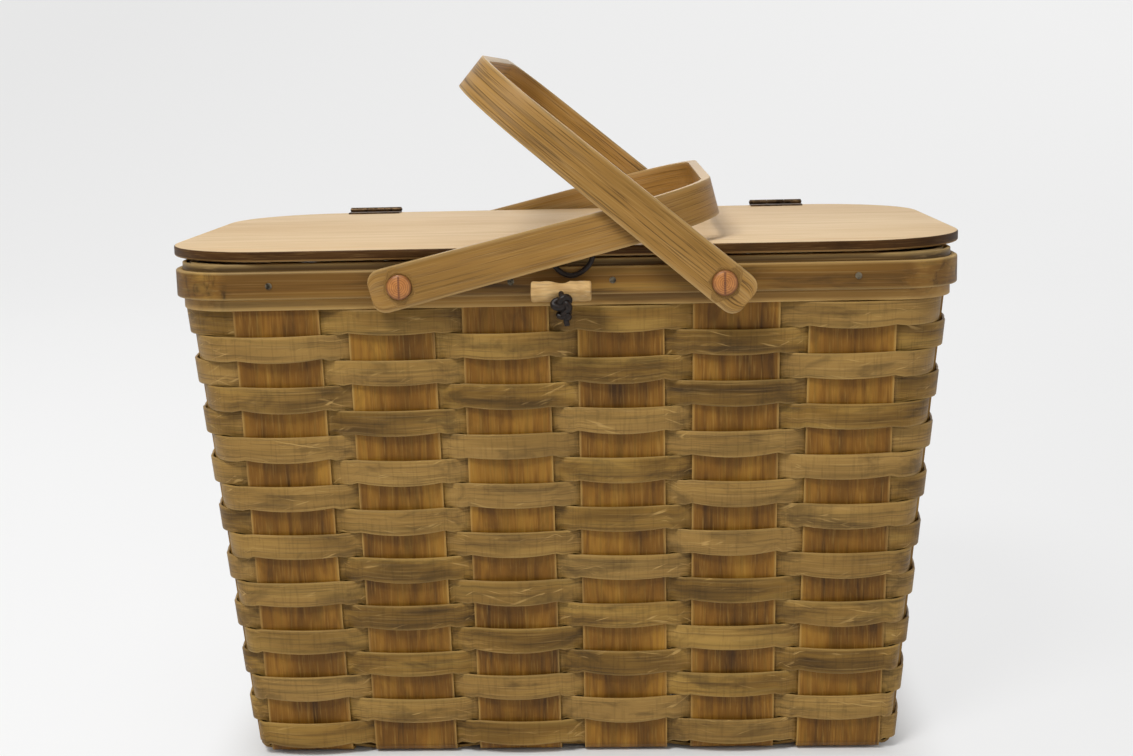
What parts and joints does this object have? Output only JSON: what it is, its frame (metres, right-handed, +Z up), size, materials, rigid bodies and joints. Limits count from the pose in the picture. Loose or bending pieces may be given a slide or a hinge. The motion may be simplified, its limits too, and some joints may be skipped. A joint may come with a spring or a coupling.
{
  "type": "picnic basket",
  "caption": "Woven splint picnic basket with a flat hinged board lid, two swinging bent wood handles and a toggle closure.",
  "frame": {"origin": "on the floor, in the middle of the woven basket's base", "axes": "+X to the right along the length, -Y out of the front with the toggle, +Z up"},
  "size_m": [0.474, 0.3196, 0.4195],
  "materials": {
    "stave_wood": "clear satin lacquer on ash splint",
    "weaver_wood": "clear satin lacquer on ash splint",
    "rim_wood": "clear satin lacquer",
    "lid_wood": "satin lacquer, darker edge",
    "handle_wood": "satin lacquer on bent wood",
    "peg_wood": "end grain",
    "toggle_wood": "plain turned wood",
    "leather": "dark cord",
    "hinge_brass": "antique",
    "nail_brass": "dull"
  },
  "bodies": {
    "basket": {"stave_cross_1": "stave_wood", "stave_cross_2": "stave_wood", "stave_cross_3": "stave_wood", "stave_cross_4": "stave_wood", "stave_cross_5": "stave_wood", "stave_cross_6": "stave_wood", "stave_long_1": "stave_wood", "stave_long_2": "stave_wood", "stave_long_3": "stave_wood", "weaver_01": "weaver_wood", "weaver_02": "weaver_wood", "weaver_03": "weaver_wood", "weaver_04": "weaver_wood", "weaver_05": "weaver_wood", "weaver_06": "weaver_wood", "weaver_07": "weaver_wood", "weaver_08": "weaver_wood", "weaver_09": "weaver_wood", "weaver_10": "weaver_wood", "weaver_11": "weaver_wood", "weaver_12": "weaver_wood", "weaver_13": "weaver_wood", "weaver_14": "weaver_wood", "weaver_15": "weaver_wood", "weaver_16": "weaver_wood", "weaver_17": "weaver_wood", "weaver_18": "weaver_wood", "rim_inner_band": "rim_wood", "rim_outer_band": "rim_wood", "rim_cover_hoop": "rim_wood", "rim_nails": "nail_brass", "hinge_rim_leaf_left": "hinge_brass", "hinge_rim_leaf_right": "hinge_brass", "hinge_pin_left": "hinge_brass", "hinge_pin_right": "hinge_brass", "hinge_screws_rim": "hinge_brass"},
    "lid": {"lid_board": "lid_wood", "hinge_lid_leaf_left": "hinge_brass", "hinge_lid_leaf_right": "hinge_brass", "hinge_screws_lid": "hinge_brass", "closing_loop": "leather"},
    "pegs_left": {"peg_left_front": "peg_wood", "peg_left_back": "peg_wood", "wedge_left_front": "peg_wood", "wedge_left_back": "peg_wood"},
    "pegs_right": {"peg_right_front": "peg_wood", "peg_right_back": "peg_wood", "wedge_right_front": "peg_wood", "wedge_right_back": "peg_wood"},
    "handle_left": {"handle_left": "handle_wood"},
    "handle_right": {"handle_right": "handle_wood"},
    "lace": {"toggle_lace": "leather"},
    "toggle": {"toggle": "toggle_wood"}
  },
  "joints": [
    {"name": "lid_open", "type": "hinge", "parent": "basket", "child": "lid", "pos_m": [0, 0.1392, 0.3135], "axis": [-1, 0, 0], "range_deg": [0, 35]},
    {"name": "pegs_left_turn", "type": "hinge", "parent": "basket", "child": "pegs_left", "pos_m": [-0.09172, 0, 0.291], "axis": [0, 1, 0], "range_deg": [-206.2, 0]},
    {"name": "pegs_right_turn", "type": "hinge", "parent": "basket", "child": "pegs_right", "pos_m": [0.09172, 0, 0.291], "axis": [0, 1, 0], "range_deg": [0, 180.2]},
    {"name": "handle_left_swing", "type": "hinge", "parent": "pegs_left", "child": "handle_left", "pos_m": [-0.09172, 0, 0.291], "axis": [0, 1, 0], "range_deg": [-28, 1]},
    {"name": "handle_right_swing", "type": "hinge", "parent": "pegs_right", "child": "handle_right", "pos_m": [0.09172, 0, 0.291], "axis": [0, -1, 0], "range_deg": [-180, 25]},
    {"name": "toggle_lean", "type": "hinge", "parent": "basket", "child": "lace", "pos_m": [0, -0.1405, 0.275], "axis": [1, 0, 0], "range_deg": [0, 40]},
    {"name": "toggle_turn", "type": "hinge", "parent": "lace", "child": "toggle", "pos_m": [0, -0.1495, 0.287], "axis": [0, -1, 0], "range_deg": [-6, 28]}
  ],
  "couplings": [
    {"joint": "pegs_left_turn", "follows": "lid_open", "ratio": -5.8857},
    {"joint": "pegs_right_turn", "follows": "lid_open", "ratio": 5.1429}
  ]
}
